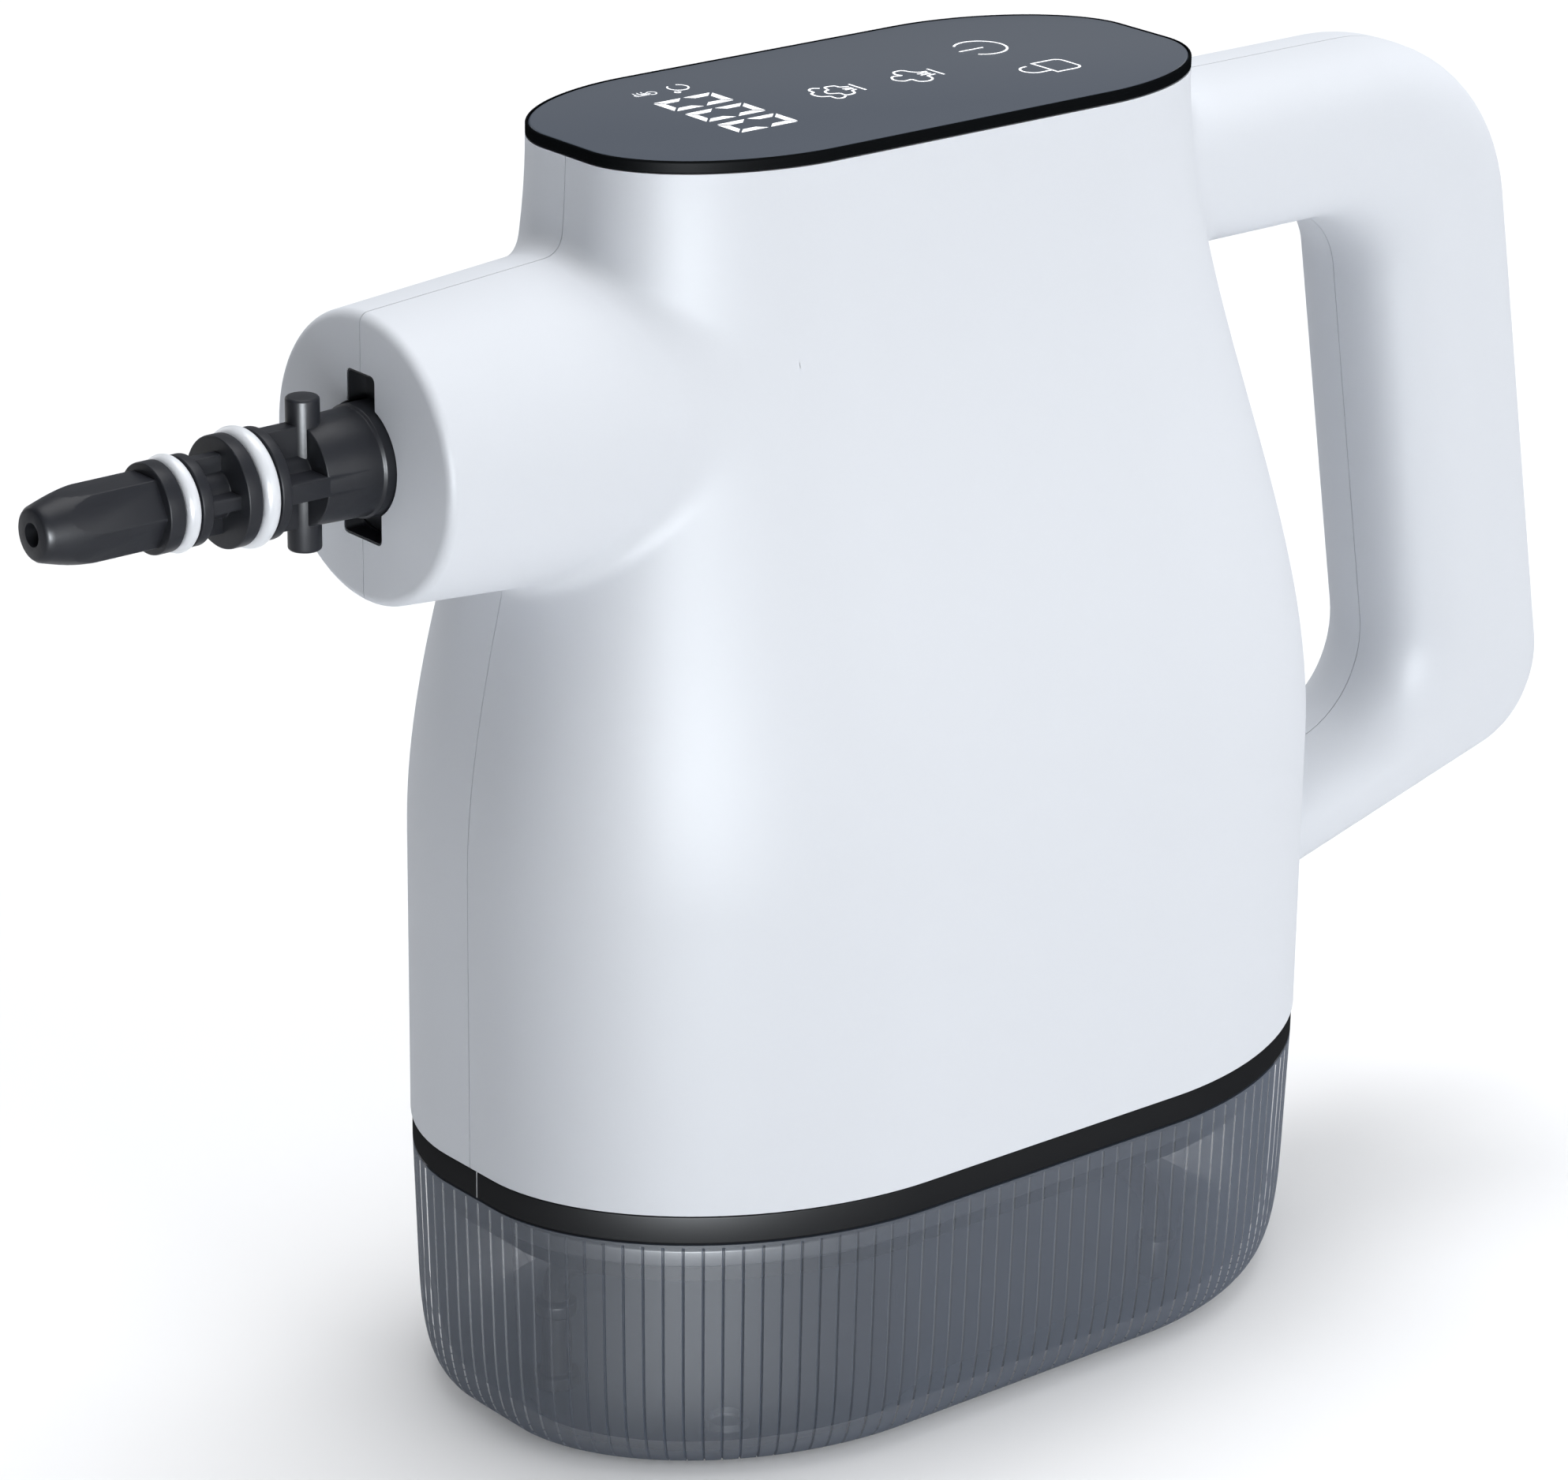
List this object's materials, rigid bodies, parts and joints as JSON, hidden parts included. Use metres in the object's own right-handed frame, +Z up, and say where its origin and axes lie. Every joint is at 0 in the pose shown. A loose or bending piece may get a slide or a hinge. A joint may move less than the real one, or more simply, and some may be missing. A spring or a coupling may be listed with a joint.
{
  "type": "handheld steam cleaner",
  "caption": "Bottle-shaped handheld steam cleaner: loop handle, conical barrel with a bayonet steam spout, touch panel on top and a pull-off smoky water tank as its base.",
  "frame": {"origin": "centre of the water tank's flat underside, on the floor", "axes": "+Z up, spout towards -X, handle towards +X, the side that faces the picture towards -Y"},
  "size_m": [0.3175, 0.1004, 0.2188],
  "materials": {
    "white_shell": "smooth satin-gloss white moulding",
    "black_trim": "smooth black",
    "slate_panel": "slate grey touch surface",
    "smoky_tank": "smoky see-through plastic with fine upright grooves",
    "black_plastic": "fine satin black",
    "grey_silicone": "pale silicone",
    "dark_rubber": "matt dark rubber",
    "steel": "plain steel",
    "cast_aluminium": "as cast",
    "circuit_green": "circuit board",
    "copper": "wound copper under lacquer"
  },
  "bodies": {
    "cleaner": {"shell_left": "white_shell", "shell_right": "white_shell", "shell_screw_1": "steel", "shell_screw_2": "steel", "shell_screw_3": "steel", "shell_screw_4": "steel", "shell_screw_5": "steel", "shell_screw_6": "steel", "panel_trim": "black_trim", "touch_panel": "slate_panel", "display_module": "black_plastic", "touch_board": "circuit_green", "base_frame": "black_trim", "tank_gasket": "grey_silicone", "latch_pin": "steel", "spout_body": "black_plastic", "ring_small": "grey_silicone", "ring_large": "grey_silicone", "spout_holder": "black_plastic", "steam_tube": "grey_silicone", "boiler": "cast_aluminium", "boiler_cover": "cast_aluminium", "cover_screw_1": "steel", "cover_screw_2": "steel", "cover_screw_3": "steel", "cover_screw_4": "steel", "thermostat": "steel", "thermal_fuse": "steel", "pump_body": "black_plastic", "pump_coil": "copper", "pump_mount_front": "dark_rubber", "pump_mount_rear": "dark_rubber", "control_board": "circuit_green", "relay": "black_plastic", "cord_gland": "dark_rubber", "suction_hose": "dark_rubber", "return_hose": "dark_rubber", "inlet_hose": "dark_rubber", "pressure_hose": "dark_rubber", "filter_weight": "dark_rubber", "filter_cap": "black_plastic", "relief_valve": "black_plastic", "level_sensor": "black_plastic"},
    "tank": {"water_tank": "smoky_tank", "foot_front": "dark_rubber", "foot_rear": "dark_rubber"},
    "latch": {"tank_latch": "black_plastic"}
  },
  "joints": [
    {"name": "tank_slide", "type": "slide", "parent": "cleaner", "child": "tank", "axis": [0, 0, -1], "range_m": [0, 0.06]},
    {"name": "latch_rock", "type": "hinge", "parent": "cleaner", "child": "latch", "pos_m": [0.0796, 0, 0.0456], "axis": [0, -1, 0], "range_deg": [0, 8], "stiffness_Nm_per_rad": 0.3}
  ]
}
